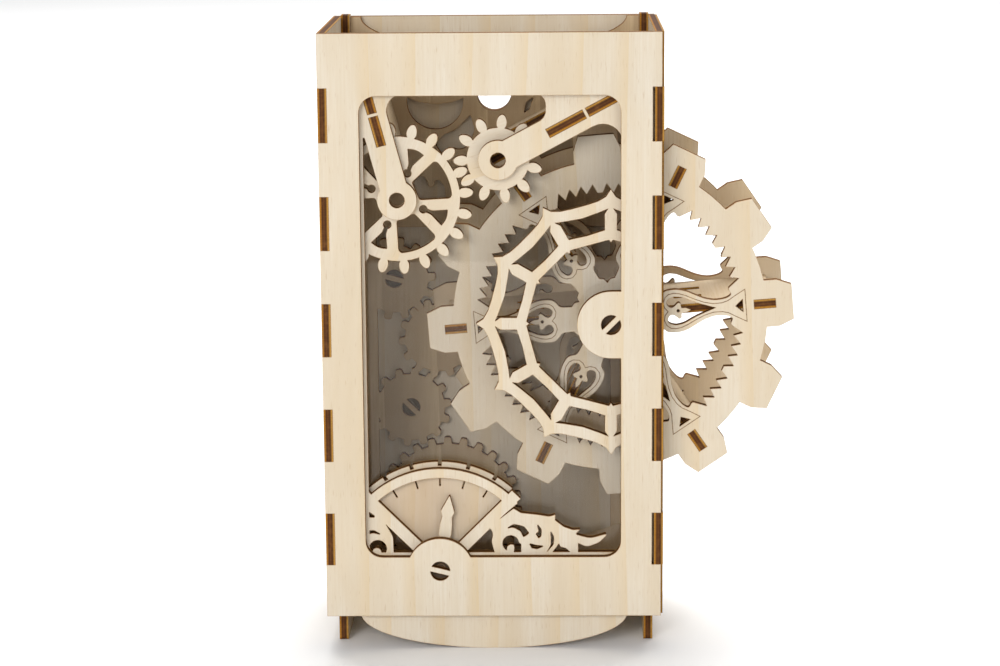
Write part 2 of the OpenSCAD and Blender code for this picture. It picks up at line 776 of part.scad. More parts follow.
module right_chute_board() {
  color(birch) intersection() {
    sloping(small_x, small_z, right_arm_dir) difference() {
      union() {
        rect(right_board[0], inner_y, right_board[1], rear_fret_y);
        rect(right_tab_a[0] + tab_gap, fret_y, right_tab_a[1] - tab_gap, inner_y + 1);
        rect(right_tab_b[0] + tab_gap, fret_y, right_tab_b[1] - tab_gap, back_y);
      }
      rect(feed_hole[0], inner_y + feed_front, feed_hole[1], rear_fret_y - feed_back);
    }
    inside(0, box_d);
  }
}

// The short key that fills the lower slot of the left arm, level with its face
module left_arm_key() {
  color(birch) upright(fret_y) bar(at([large_x, large_z], key_from + tab_gap, left_arm_dir),
    left_arm_dir, key_to - key_from - 2 * tab_gap, ply / 2);
}

// The sloping board at the bottom right, from the floor up to the right inner side
module exit_ramp() {
  slope = 16.7;
  foot_x = half_w - 45.5;
  len = (right_in - foot_x) / cos(slope) + ply;
  color(birch) intersection() {
    translate([foot_x, inner_y + 2, floor_top]) rotate([0, -slope, 0]) translate([-ply, 0, -ply])
      cube([len + ply, rear_fret_y - inner_y - 2, ply]);
    inside(0, box_d);
  }
}

// ---- wheel -----------------------------------------------------------------------------------

// One side of a spoke: stem, lyre, neck and the flare into the ring, as points along the spoke
spoke_side = [[12.3, 4.1], [16, 4.4], [17.3, 5.8], [18.6, 6.8], [20.6, 7.1], [22.9, 7], [25.6, 6.2],
  [28.7, 4.6], [31.3, 3.4], [34.5, 2.6], [37.5, 2.75], [39.2, 3.3], [40, 4.1], [39.4, 5.4]];
// One side of the heart cut in a spoke, from its point back to the root of the leaf
heart_side = [[34.8, 0], [28.4, 2.3], [24.8, 4], [23.2, 4.5], [21.2, 4.7], [19.4, 4], [18.8, 3],
  [19.2, 1.8], [20.2, 1.2], [21.2, 1.5]];
// One side of the leaf that stands in the heart
leaf_side = [[22, 2.2], [22.7, 2.7], [23.4, 2.2], [23.5, 0.9], [24.9, 0.8], [26.6, 0]];

function flip(p) = [for (i = [len(p) - 1:-1:0]) [p[i][0], -p[i][1]]];
function turned(p, a) = [for (q = p) [q[0] * cos(a) - q[1] * sin(a), q[0] * sin(a) + q[1] * cos(a)]];
function scaled(p) = ring_in_r / spoke_drawn_r * p;

// The opening between two spokes, with saw teeth along the ring and a scalloped hub
module wheel_window(step) {
  side = spline(scaled(spoke_side), 3);
  last = floor((step / 2 - saw_from) / saw_step);
  polygon(concat(side, [polar(ring_in_r - 4.1, 8.9)],
    [for (j = [0:last]) each [polar(ring_in_r, saw_from + saw_step * j),
      polar(ring_in_r - saw_h, saw_from + saw_lean + saw_step * j)]],
    [for (j = [last:-1:0]) each [polar(ring_in_r - saw_h, step - saw_from - saw_lean - saw_step * j),
      polar(ring_in_r, step - saw_from - saw_step * j)]],
    [polar(ring_in_r - 4.1, step - 8.9)], turned(flip(side), step),
    [for (a = [4.8, 0, -4.8]) polar(a == 0 ? 11.2 : 12.5, step / 2 + a)]));
}

// A spoke's cut-outs along X: the heart round its leaf, a pin prick and the little triangle
module spoke_cuts() {
  heart = concat(spline(scaled(heart_side), 3), spline(scaled(leaf_side), 2));
  polygon(concat(heart, [for (i = [len(heart) - 2:-1:1]) [heart[i][0], -heart[i][1]]]));
  dot(22.4, 0, 0.5);
  polygon([[ring_in_r - 2.8, 0], [ring_in_r - 0.3, -2.2], [ring_in_r - 0.3, 2.2]]);
}

module wheel_plate_shape() {
  spokes = 6;
  step = 360 / spokes;
  difference() {
    union() {
      circle(ring_r);
      for (k = [0:wheel_teeth - 1]) rotate(k * 360 / wheel_teeth) polygon([
        [ring_r - 3, -tooth_root_half], [wheel_tip_r - tooth_chamfer, -tooth_root_half],
        [wheel_tip_r, -tooth_tip_half], [wheel_tip_r, tooth_tip_half],
        [wheel_tip_r - tooth_chamfer, tooth_root_half], [ring_r - 3, tooth_root_half]]);
    }
    for (k = [0:spokes - 1]) rotate(step * k) {
      wheel_window(step);
      spoke_cuts();
      rect(paddle_slot_r - paddle_slot_l / 2, -ply / 2 - tab_gap / 2,
        paddle_slot_r + paddle_slot_l / 2, ply / 2 + tab_gap / 2);
    }
  }
}

module wheel_plate(y) {
  color(birch) difference() {
    upright(y) translate([wheel_x, wheel_z]) rotate(wheel_turn) wheel_plate_shape();
    rod(wheel_x, wheel_z, axle_r + glue_gap, y - 1, y + ply + 1);
  }
}

module wheel_front_plate() {
  wheel_plate(wheel_front_y);
}

module wheel_back_plate() {
  wheel_plate(wheel_back_y);
}

// A radial board between the two wheel plates, tabbed through both
module wheel_paddle(k) {
  tab_half = paddle_slot_l / 2 - tab_gap / 2;
  color(birch) translate([wheel_x, 0, wheel_z]) rotate([0, -wheel_turn - 60 * (k - 1), 0])
    translate([0, 0, -ply / 2]) linear_extrude(ply) difference() {
      union() {
        rect(paddle_in_r, wheel_front_y + ply, ring_r, wheel_back_y);
        rect(paddle_slot_r - tab_half, wheel_front_y, paddle_slot_r + tab_half, wheel_back_y + ply);
      }
      rect(ring_r * 0.42, wheel_front_y + ply + 12, ring_r * 0.6, wheel_front_y + ply + 16);
      rect(ring_r * 0.42, wheel_back_y - 16, ring_r * 0.6, wheel_back_y - 12);
    }
}

module wheel_axle() {
  color(shaded_birch) rod(wheel_x, wheel_z, axle_r, ply + side_play, box_d);
}

module wheel_collar(y0, y1) {
  color(shaded_birch) difference() {
    rod(wheel_x, wheel_z, collar_r, y0, y1);
    rod(wheel_x, wheel_z, axle_r + glue_gap, y0 - 1, y1 + 1);
  }
}

module wheel_front_collar() {
  wheel_collar(pane_y + pane_t + collar_front_gap, wheel_front_y);
}

module wheel_back_collar() {
  wheel_collar(wheel_back_y + ply, rear_fret_y - collar_back_gap);
}

// ---- nodes -----------------------------------------------------------------------------------

// Moves a piece so that the origin lies under the middle of the round foot
module placed() {
  translate([0, -fret_y - ply / 2, 0]) children();
}

placed() front_panel();
placed() fretwork_plate();
placed() left_side_panel();
placed() right_side_panel();
placed() back_panel();
placed() floor_panel();
placed() left_inner_side();
placed() right_inner_side();
placed() rear_fretwork();
placed() clear_pane();
placed() left_lower_spacer();
placed() left_upper_spacer();
placed() right_spacer();
placed() large_gear();
placed() small_gear();
placed() large_gear_bush();
placed() small_gear_bush();
placed() dial_plate();
placed() needle();
placed() needle_pin();
placed() left_chute_board();
placed() right_chute_board();
placed() left_arm_key();
placed() exit_ramp();
placed() wheel_front_plate();
placed() wheel_back_plate();
placed() wheel_paddle(1);  // wheel_paddle_1
placed() wheel_paddle(2);  // wheel_paddle_2
placed() wheel_paddle(3);  // wheel_paddle_3
placed() wheel_paddle(4);  // wheel_paddle_4
placed() wheel_paddle(5);  // wheel_paddle_5
placed() wheel_paddle(6);  // wheel_paddle_6
placed() wheel_axle();
placed() wheel_front_collar();
placed() wheel_back_collar();
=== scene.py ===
"""A plywood model kit: a box on a round foot, with a wheel, two gears and a gauge behind its window."""

import math

import bmesh
import bpy
from mathutils import Matrix, Vector


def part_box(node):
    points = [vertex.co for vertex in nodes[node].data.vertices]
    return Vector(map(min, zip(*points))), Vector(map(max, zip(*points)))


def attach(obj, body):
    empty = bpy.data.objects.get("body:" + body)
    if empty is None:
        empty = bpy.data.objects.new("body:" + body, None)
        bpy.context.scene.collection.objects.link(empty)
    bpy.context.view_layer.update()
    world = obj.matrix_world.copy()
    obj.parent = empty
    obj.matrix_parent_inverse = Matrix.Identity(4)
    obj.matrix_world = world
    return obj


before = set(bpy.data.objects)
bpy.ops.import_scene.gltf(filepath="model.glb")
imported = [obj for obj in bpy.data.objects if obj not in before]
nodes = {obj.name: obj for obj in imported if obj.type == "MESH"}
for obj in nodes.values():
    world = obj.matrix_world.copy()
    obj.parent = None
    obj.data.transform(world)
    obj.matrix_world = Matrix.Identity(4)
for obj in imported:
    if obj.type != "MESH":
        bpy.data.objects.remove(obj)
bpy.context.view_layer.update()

# ---- The camera ----
# A long lens a little to the right of the box and above it, looking down
# at the window.
EYE_AT = (0.02062, -0.88333, 0.27588)
EYE_LEFT = 1.164
EYE_DOWN = 10.885
EYE_ROLL = -0.452
eye = bpy.data.cameras.new("eye")
eye.sensor_width = 36
eye.lens = 99.6
eye.clip_end = 40
eye_stand = bpy.data.objects.new("eye", eye)
bpy.context.scene.collection.objects.link(eye_stand)
eye_stand.matrix_world = (
    Matrix.Translation(EYE_AT)
    @ Matrix.Rotation(math.radians(EYE_LEFT), 4, "Z")
    @ Matrix.Rotation(math.radians(90 - EYE_DOWN), 4, "X")
    @ Matrix.Rotation(math.radians(EYE_ROLL), 4, "Z")
)
bpy.context.scene.camera = eye_stand
bpy.context.scene.view_settings.view_transform = "Standard"

# It is left bare, with the grain running up the box.
PALE_BIRCH = (0.625, 0.565, 0.47)
GRAIN_BIRCH = (0.56, 0.465, 0.335)
RING_BIRCH = (0.585, 0.45, 0.27)
PORE_BROWN = (0.43, 0.30, 0.18)
# Painted shade: the brown of the dial where it lies recessed behind the arch
CLOUD_CREAM = (0.65, 0.54, 0.39)
RECESS_SHADE_BROWN = (0.36, 0.235, 0.135)
SCORCH = (0.30, 0.145, 0.04)
SCORCH_WIDTH = 0.00030
# Painted shade: the black seen through the slots of mock screw heads
SLOT_SHADE_BLACK = (0.045, 0.022, 0.010)
BURNT_PULSE = (0.035, 0.012, 0.004)
AMBER_DUST = (0.28, 0.125, 0.035)
BURNT_PLIES = (
    (0.00, (0.10, 0.034, 0.007)),
    (0.07, (0.44, 0.21, 0.024)),
    (0.20, (0.22, 0.080, 0.010)),
    (0.32, (0.036, 0.012, 0.003)),
    (0.42, (0.100, 0.034, 0.007)),
    (0.60, (0.075, 0.025, 0.005)),
    (0.68, (0.032, 0.011, 0.003)),
    (0.80, (0.20, 0.085, 0.016)),
    (0.92, (0.50, 0.27, 0.050)),
    (1.00, (0.12, 0.042, 0.009)),
)
SPOT_RADIUS = 0.0041
SPOT_AHEAD = 0.006


def birch_sheet(
    name, across, start, thick, grain, pale=PALE_BIRCH, streak=GRAIN_BIRCH, shift=0.0, spots=(), smoked=None
):
    """Bare birch ply with grain on its faces and burnt plies on its edges.

    The sheet starts at start along across and is thick through. shift moves the grain, so that no two
    sheets are alike. The last two arguments add painted shade to its front: round black marks at the given
    middles, where it is seen through the slots of a mock screw head in front, and a brown disc of the
    given middle and radius, where it lies recessed behind an arch.
    """
    wood = bpy.data.materials.new(name)
    wood.use_nodes = True
    tree = wood.node_tree
    tree.nodes.clear()

    def node(kind, **settings):
        n = tree.nodes.new(kind)
        for key, value in settings.items():
            setattr(n, key, value)
        return n

    def join(a, b):
        tree.links.new(a, b)

    def noise(source, scale, detail, rough=0.5, twist=0.0):
        n = node("ShaderNodeTexNoise")
        n.inputs["Scale"].default_value = scale
        n.inputs["Detail"].default_value = detail
        n.inputs["Roughness"].default_value = rough
        n.inputs["Distortion"].default_value = twist
        join(source, n.inputs["Vector"])
        return n.outputs["Fac"]

    def spread(source, low, high, to_low=0.0, to_high=1.0):
        n = node("ShaderNodeMapRange")
        n.inputs["From Min"].default_value = low
        n.inputs["From Max"].default_value = high
        n.inputs["To Min"].default_value = to_low
        n.inputs["To Max"].default_value = to_high
        join(source, n.inputs["Value"])
        return n.outputs["Result"]

    def blend(amount, first, second):
        n = node("ShaderNodeMix", data_type="RGBA")
        for value, at in ((amount, 0), (first, 6), (second, 7)):
            if isinstance(value, float):
                n.inputs[at].default_value = value
            elif isinstance(value, tuple):
                n.inputs[at].default_value = (*value, 1)
            else:
                join(value, n.inputs[at])
        return n.outputs[2]

    def stretch(source, size):
        n = node("ShaderNodeMapping")
        n.inputs["Scale"].default_value = size
        join(source, n.inputs["Vector"])
        return n.outputs["Vector"]

    # The sheet's own axes: X over the grain, Y through the sheet, Z along it
    across, grain = Vector(across).normalized(), Vector(grain).normalized()
    turn = Matrix((across.cross(grain), across, grain)).to_euler()
    where = node("ShaderNodeTexCoord")
    own = node("ShaderNodeMapping")
    own.inputs["Rotation"].default_value = turn
    own.inputs["Location"].default_value = (shift * 0.37, -start, shift * 0.21)
    join(where.outputs["Object"], own.inputs["Vector"])
    facing = node("ShaderNodeMapping", vector_type="VECTOR")
    facing.inputs["Rotation"].default_value = turn
    join(where.outputs["Normal"], facing.inputs["Vector"])
    place, way = node("ShaderNodeSeparateXYZ"), node("ShaderNodeSeparateXYZ")
    join(own.outputs["Vector"], place.inputs[0])
    join(facing.outputs["Vector"], way.inputs[0])
    flat = node("ShaderNodeMath", operation="ABSOLUTE")
    join(way.outputs["Y"], flat.inputs[0])
    is_face = spread(flat.outputs[0], 0.6, 0.75)

    # Faces: broad soft figure, fine fibre, and short darker pores
    figure = noise(stretch(own.outputs["Vector"], (1, 0.4, 0.13)), 62, 3, 0.5, 1.1)
    rings = node("ShaderNodeTexWave", bands_direction="X", wave_profile="SAW")
    rings.inputs["Scale"].default_value = 17
    rings.inputs["Distortion"].default_value = 7.5
    rings.inputs["Detail"].default_value = 2.5
    rings.inputs["Detail Scale"].default_value = 0.55
    join(stretch(own.outputs["Vector"], (1, 0.3, 0.16)), rings.inputs["Vector"])
    fibre = noise(stretch(own.outputs["Vector"], (1, 0.4, 0.028)), 1500, 4, 0.65)
    pores = noise(stretch(own.outputs["Vector"], (1, 0.4, 0.09)), 2300, 1, 0.4)
    cloud = noise(own.outputs["Vector"], 26, 2, 0.5, 0.4)
    face = blend(spread(figure, 0.32, 0.72), pale, streak)
    face = blend(spread(rings.outputs["Fac"], 0.68, 1.0, 0.0, 0.7), face, RING_BIRCH)
    face = blend(spread(fibre, 0.40, 0.72, 0.0, 0.7), face, streak)
    face = blend(spread(pores, 0.64, 0.76, 0.0, 0.5), face, PORE_BROWN)
    face = blend(spread(cloud, 0.35, 0.75, 0.0, 0.3), face, CLOUD_CREAM)

    def within(spot, radius, ahead, amount):
        away = node("ShaderNodeVectorMath", operation="DISTANCE")
        away.inputs[1].default_value = (spot.x, start - ahead, spot.z)
        join(where.outputs["Object"], away.inputs[0])
        reach = math.hypot(ahead, radius)
        return spread(away.outputs["Value"], reach, reach - 0.0001, 0.0, amount)

    # Painted shade: the face darkened brown within a disc, where the dial lies recessed behind the arch
    if smoked:
        smoke = blend(spread(cloud, 0.35, 0.65, 0.16, 0.46), face, RECESS_SHADE_BROWN)
        face = blend(within(*smoked, 0.0, 1.0), face, smoke)

    # Painted shade: the black that shows through the slots of a mock screw head in front, as round marks on
    # this face
    for spot in spots:
        face = blend(within(spot, SPOT_RADIUS, SPOT_AHEAD, 0.92), face, SLOT_SHADE_BLACK)

    # The laser's scorch along every cut, where the rounded and true normals part
    soft = node("ShaderNodeBevel", samples=6)
    soft.inputs["Radius"].default_value = SCORCH_WIDTH
    hard = node("ShaderNodeNewGeometry")
    agree = node("ShaderNodeVectorMath", operation="DOT_PRODUCT")
    join(soft.outputs[0], agree.inputs[0])
    join(hard.outputs["Normal"], agree.inputs[1])
    scorch = spread(agree.outputs["Value"], 0.995, 0.90, 0.0, 0.9)
    face = blend(scorch, face, SCORCH)

    # Cut edges: amber outer plies, a darker core and black glue lines
    depth = spread(place.outputs["Y"], 0.0, thick)
    plies = node("ShaderNodeValToRGB")
    ramp = plies.color_ramp.elements
    while len(ramp) < len(BURNT_PLIES):
        ramp.new(0.5)
    for element, (depth_share, colour) in zip(ramp, BURNT_PLIES):
        element.position = depth_share
        element.color = (*colour, 1)
    join(depth, plies.inputs["Fac"])
    pulses = noise(stretch(own.outputs["Vector"], (1, 0.12, 1)), 3200, 2, 0.6)
    soot = noise(own.outputs["Vector"], 420, 3, 0.6)
    edge = blend(spread(pulses, 0.42, 0.70, 0.0, 0.35), plies.outputs["Color"], BURNT_PULSE)
    edge = blend(spread(soot, 0.50, 0.75, 0.0, 0.22), edge, AMBER_DUST)

    skin = node("ShaderNodeBsdfPrincipled")
    join(blend(is_face, edge, face), skin.inputs["Base Color"])
    join(spread(fibre, 0.3, 0.7, 0.56, 0.74), skin.inputs["Roughness"])
    skin.inputs["Specular IOR Level"].default_value = 0.13
    relief = node("ShaderNodeBump")
    relief.inputs["Strength"].default_value = 0.35
    relief.inputs["Distance"].default_value = 0.00006
    height = node("ShaderNodeMix", data_type="FLOAT")
    join(is_face, height.inputs[0])
    join(pulses, height.inputs[2])
    join(fibre, height.inputs[3])
    join(height.outputs[0], relief.inputs["Height"])
    join(relief.outputs["Normal"], skin.inputs["Normal"])
    out = node("ShaderNodeOutputMaterial")
    join(skin.outputs[0], out.inputs["Surface"])
    return wood


def dress(name, wood):
    """Gives a CAD node one finish in all its slots."""
    slots = nodes[name].data.materials
    for i in range(len(slots)):
        slots[i] = wood


def face_sheet(name, across, grain, **tone):
    """Dresses a CAD node whose sheet lies square to one axis."""
    across = Vector(across)
    low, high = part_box(name)
    start, end = low.dot(across), high.dot(across)
    dress(name, birch_sheet(name + "_birch", across, start, end - start, grain, **tone))


BACKWARD, SIDEWAYS, UPWARD = (0, 1, 0), (1, 0, 0), (0, 0, 1)
face_sheet("front_panel", BACKWARD, UPWARD, shift=0.31)

# ---- The fretwork plate ----
# The second sheet, straight behind the front panel: the two gear arms, the
# web over the wheel, the leaf scrolls and the gauge's arch in one piece,
# with the half-round foot below. Its lower left arm slot is filled by a key.


def middle(name):
    low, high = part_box(name)
    return (low + high) / 2


# Painted shade: a round black mark round the wheel's axle, seen through the mock screw head in front
face_sheet("fretwork_plate", BACKWARD, UPWARD, shift=1.7, spots=[middle("wheel_axle")])

SHEET_THICKNESS = 0.003
LEFT_ARM_ANGLE = 105


def sloping_sheet(name, centre, angle, lower_face=-SHEET_THICKNESS / 2, grain=BACKWARD, **tone):
    """Dresses a board that runs along angle in the front view, its lower face that far from centre."""
    lean = math.radians(angle)
    across = Vector((-math.sin(lean), 0, math.cos(lean)))
    start = Vector((centre.x, 0, centre.z)).dot(across) + lower_face
    dress(name, birch_sheet(name + "_birch", across, start, SHEET_THICKNESS, grain, **tone))


sloping_sheet("left_arm_key", middle("large_gear_bush"), LEFT_ARM_ANGLE, shift=2.2)

# ---- The side panels and the back ----
# Three more outer sheets. The sides' tabs come through the front panel's
# notches, so their burnt ends show flush in its face. The back has painted
# shade, round black marks, behind the rear fretwork's three mock screw heads.
face_sheet("left_side_panel", SIDEWAYS, UPWARD, shift=2.9)
face_sheet("right_side_panel", SIDEWAYS, UPWARD, shift=3.4)
mock_screws = [Vector((-0.0353, 0, 0.1129)), Vector((-0.020, 0, 0.0919)), Vector((-0.030, 0, 0.0672))]
face_sheet("back_panel", BACKWARD, UPWARD, shift=4.1, spots=mock_screws)

# ---- The inner sides and the floor ----
# The inner side plates stand on the table on their long feet and carry the
# floor, whose tabs go through them.
# Painted shade: darker, browner copies of the birch for the sheets inside the box, for the shade and warm
# bounced light there
INNER_SHADE = {"pale": (0.60, 0.49, 0.345), "streak": (0.51, 0.385, 0.245)}
face_sheet("left_inner_side", SIDEWAYS, UPWARD, shift=4.8, **INNER_SHADE)
face_sheet("right_inner_side", SIDEWAYS, UPWARD, shift=5.2, **INNER_SHADE)
face_sheet("floor_panel", UPWARD, SIDEWAYS, shift=5.9, **INNER_SHADE)

# ---- The rear fretwork ----
# The mock gears and scrolls at the back of the box, one sheet of birch laid
# against the back panel, in a darker, browner copy of the birch as painted shade.
REAR_SHADE_PALE = (0.43, 0.315, 0.19)
REAR_SHADE_STREAK = (0.34, 0.235, 0.13)
face_sheet("rear_fretwork", BACKWARD, UPWARD, pale=REAR_SHADE_PALE, streak=REAR_SHADE_STREAK, shift=6.6)

# ---- The pane and its spacers ----
# A sheet of clear acrylic behind the gears, held off the fretwork by three
# strips of ply. It gives back a little of the table in front.
# The spacers take the darker inner copy of the birch as painted shade.
for strip, shift in (("left_lower_spacer", 7.1), ("left_upper_spacer", 7.4), ("right_spacer", 7.8)):
    face_sheet(strip, BACKWARD, UPWARD, shift=shift, **INNER_SHADE)


def acrylic():
    clear = bpy.data.materials.new("clear_acrylic")
    clear.use_nodes = True
    tree = clear.node_tree
    tree.nodes.clear()
    through = tree.nodes.new("ShaderNodeBsdfTransparent")
    shine = tree.nodes.new("ShaderNodeBsdfGlossy")
    shine.inputs["Color"].default_value = (0.60, 0.54, 0.47, 1)
    share = tree.nodes.new("ShaderNodeFresnel")
    share.inputs["IOR"].default_value = 1.46
    smear = tree.nodes.new("ShaderNodeTexNoise")
    smear.inputs["Scale"].default_value = 90
    film = tree.nodes.new("ShaderNodeMapRange")
    film.inputs["To Min"].default_value = 0.006
    film.inputs["To Max"].default_value = 0.03
    place = tree.nodes.new("ShaderNodeTexCoord")
    tree.links.new(place.outputs["Object"], smear.inputs["Vector"])
    tree.links.new(smear.outputs["Fac"], film.inputs["Value"])
    tree.links.new(film.outputs["Result"], shine.inputs["Roughness"])
    both = tree.nodes.new("ShaderNodeMixShader")
    out = tree.nodes.new("ShaderNodeOutputMaterial")
    tree.links.new(share.outputs[0], both.inputs[0])
    tree.links.new(through.outputs[0], both.inputs[1])
    tree.links.new(shine.outputs[0], both.inputs[2])
    tree.links.new(both.outputs[0], out.inputs["Surface"])
    return clear


dress("clear_pane", acrylic())

# ---- The gears and their bushes ----
# Two meshing leaf-toothed gears of ply. Each turns on a short turned bush
# glued to the back of its arm. The wheel's axle and the needle's pin are
# turned too, with painted shade, black, on the ends that show through the mock screw heads.
face_sheet("large_gear", BACKWARD, (0.4, 0, 1), shift=8.3)
face_sheet("small_gear", BACKWARD, (1, 0, 0.3), shift=8.9)


def turned_birch(name, pale, dark, shaded_end=False):
    """End grain and turning marks of a dowel that lies along Y, with painted shade, black, on its front end
    or not.
    """
    wood = bpy.data.materials.new(name)
    wood.use_nodes = True
    tree = wood.node_tree
    skin = tree.nodes["Principled BSDF"]
    where = tree.nodes.new("ShaderNodeTexCoord")
    along = tree.nodes.new("ShaderNodeMapping")
    along.inputs["Scale"].default_value = (1, 0.05, 1)
    fibre = tree.nodes.new("ShaderNodeTexNoise")
    fibre.inputs["Scale"].default_value = 1400
    fibre.inputs["Detail"].default_value = 4
    tint = tree.nodes.new("ShaderNodeValToRGB")
    tint.color_ramp.elements[0].position = 0.3
    tint.color_ramp.elements[1].position = 0.7
    tint.color_ramp.elements[0].color = (*dark, 1)
    tint.color_ramp.elements[1].color = (*pale, 1)
    relief = tree.nodes.new("ShaderNodeBump")
    relief.inputs["Strength"].default_value = 0.3
    relief.inputs["Distance"].default_value = 0.00005
    tree.links.new(where.outputs["Object"], along.inputs["Vector"])
    tree.links.new(along.outputs["Vector"], fibre.inputs["Vector"])
    tree.links.new(fibre.outputs["Fac"], tint.inputs["Fac"])
    tree.links.new(tint.outputs["Color"], skin.inputs["Base Color"])
    # Painted shade: the front end darkened to black, where it shows through a mock screw head
    if shaded_end:
        way = tree.nodes.new("ShaderNodeSeparateXYZ")
        ahead = tree.nodes.new("ShaderNodeMapRange")
        ahead.inputs["From Min"].default_value = -0.6
        ahead.inputs["From Max"].default_value = -0.8
        ahead.inputs["To Max"].default_value = 0.92
        end_shade = tree.nodes.new("ShaderNodeMix")
        end_shade.data_type = "RGBA"
        end_shade.inputs[7].default_value = (*SLOT_SHADE_BLACK, 1)
        tree.links.new(where.outputs["Normal"], way.inputs[0])
        tree.links.new(way.outputs["Y"], ahead.inputs["Value"])
        tree.links.new(ahead.outputs["Result"], end_shade.inputs[0])
        tree.links.new(tint.outputs["Color"], end_shade.inputs[6])
        tree.links.new(end_shade.outputs[2], skin.inputs["Base Color"])
    tree.links.new(fibre.outputs["Fac"], relief.inputs["Height"])
    tree.links.new(relief.outputs["Normal"], skin.inputs["Normal"])
    skin.inputs["Roughness"].default_value = 0.6
    skin.inputs["Specular IOR Level"].default_value = 0.3
    return wood


DOWEL_PALE = (0.62, 0.46, 0.28)
DOWEL_DARK = (0.42, 0.27, 0.14)
bush_wood = turned_birch("bush_birch", DOWEL_PALE, DOWEL_DARK)
rod_wood = turned_birch("rod_birch", DOWEL_PALE, DOWEL_DARK, shaded_end=True)
for rod, wood in (
    ("large_gear_bush", bush_wood),
    ("small_gear_bush", bush_wood),
    ("needle_pin", rod_wood),
    ("wheel_axle", rod_wood),
):
    dress(rod, wood)

# ---- The gauge ----
# A dial plate with cut tick marks behind the arch, and a pointer on a pin.
# The dial is darkened brown with painted shade as far as the arch, where it
# lies recessed behind it, and its rim above the arch is bare.
ARCH_RADIUS = 0.0330
face_sheet("dial_plate", BACKWARD, UPWARD, shift=9.7, smoked=(middle("needle_pin"), ARCH_RADIUS))
# Painted shade: a round black mark on the needle round its pin
face_sheet("needle", BACKWARD, UPWARD, shift=10.2, spots=[middle("needle_pin")])

# ---- The chute boards and the ramp ----
# Boards that slope through the box from the fretwork to the back, where
# their tabs show as brown bars in the two arms.
RIGHT_ARM_ANGLE = 28
RAMP_ANGLE = 16.7
ramp_foot = Vector((0.0095, 0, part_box("floor_panel")[1].z))
# The boards take the darker inner copy of the birch as painted shade.
sloping_sheet("left_chute_board", middle("large_gear_bush"), LEFT_ARM_ANGLE, shift=10.9, **INNER_SHADE)
sloping_sheet("right_chute_board", middle("small_gear_bush"), RIGHT_ARM_ANGLE, shift=11.5, **INNER_SHADE)
sloping_sheet("exit_ramp", ramp_foot, RAMP_ANGLE, -SHEET_THICKNESS, shift=12.1, **INNER_SHADE)

# ---- The wheel ----
# Two toothed plates with lyre-shaped spokes, joined by six radial boards
# and glued to the axle between two collars.
face_sheet("wheel_front_plate", BACKWARD, UPWARD, shift=12.8)
# Painted shade: the back plate takes the darker inner copy of the birch
face_sheet("wheel_back_plate", BACKWARD, UPWARD, shift=13.6, **INNER_SHADE)
hub = middle("wheel_axle")
SPOKE_ANGLES = [4.5 + 60 * k for k in range(6)]
# The paddles take the darker inner copy of the birch as painted shade.
for k, angle in enumerate(SPOKE_ANGLES):
    sloping_sheet(f"wheel_paddle_{k + 1}", hub, angle, shift=14.2 + k * 0.7, **INNER_SHADE)
for collar in ("wheel_front_collar", "wheel_back_collar"):
    face_sheet(collar, BACKWARD, UPWARD, shift=19.0)

# ---- The wheel's score lines ----
# A thin burnt line that the laser draws inside the edge of each spoke: round
# the heart, along the neck, and out to a small triangle on the ring.
SCORE_WIDTH = 0.00027
SCORE_PROUD = 0.00003
SCORE_SUNK = 0.00002
half_line = (
    (18.9, 0), (17.9, 1.2), (17.5, 2.9), (18.3, 4.8), (19.6, 5.8), (21.3, 6.05), (23.1, 5.8),
    (25.2, 5.0), (28.2, 3.5), (31.0, 2.3), (34.0, 1.55), (36.8, 1.6), (38.8, 2.15), (41.2, 3.6),
    (44.8, 5.6),
)
closed_line = [*half_line, *[(x, -y) for x, y in reversed(half_line[1:])]]


def score_lines(name, y_face, outward):
    """One mesh of all six spokes' lines on a face at y_face, which looks outward along Y: 1 or -1."""
    lines = bmesh.new()
    for angle in SPOKE_ANGLES:
        along = Vector((math.cos(math.radians(angle)), 0, math.sin(math.radians(angle))))
        aside = Vector((-along.z, 0, along.x))
        foot = Vector((hub.x, y_face - outward * SCORE_SUNK, hub.z))
        points = [lines.verts.new(foot + (x * along + y * aside) / 1000) for x, y in closed_line]
        for a, b in zip(points, points[1:] + points[:1]):
            lines.edges.new((a, b))
    wall = bmesh.ops.extrude_edge_only(lines, edges=lines.edges[:])
    moved = [v for v in wall["geom"] if isinstance(v, bmesh.types.BMVert)]
    bmesh.ops.translate(lines, verts=moved, vec=(0, outward * (SCORE_SUNK + SCORE_PROUD), 0))
    bmesh.ops.recalc_face_normals(lines, faces=lines.faces[:])
    bmesh.ops.solidify(lines, geom=lines.faces[:], thickness=SCORE_WIDTH)
    bmesh.ops.recalc_face_normals(lines, faces=lines.faces[:])
    mesh = bpy.data.meshes.new(name)
    lines.to_mesh(mesh)
    lines.free()
    piece = bpy.data.objects.new(name, mesh)
    bpy.context.scene.collection.objects.link(piece)
    return piece


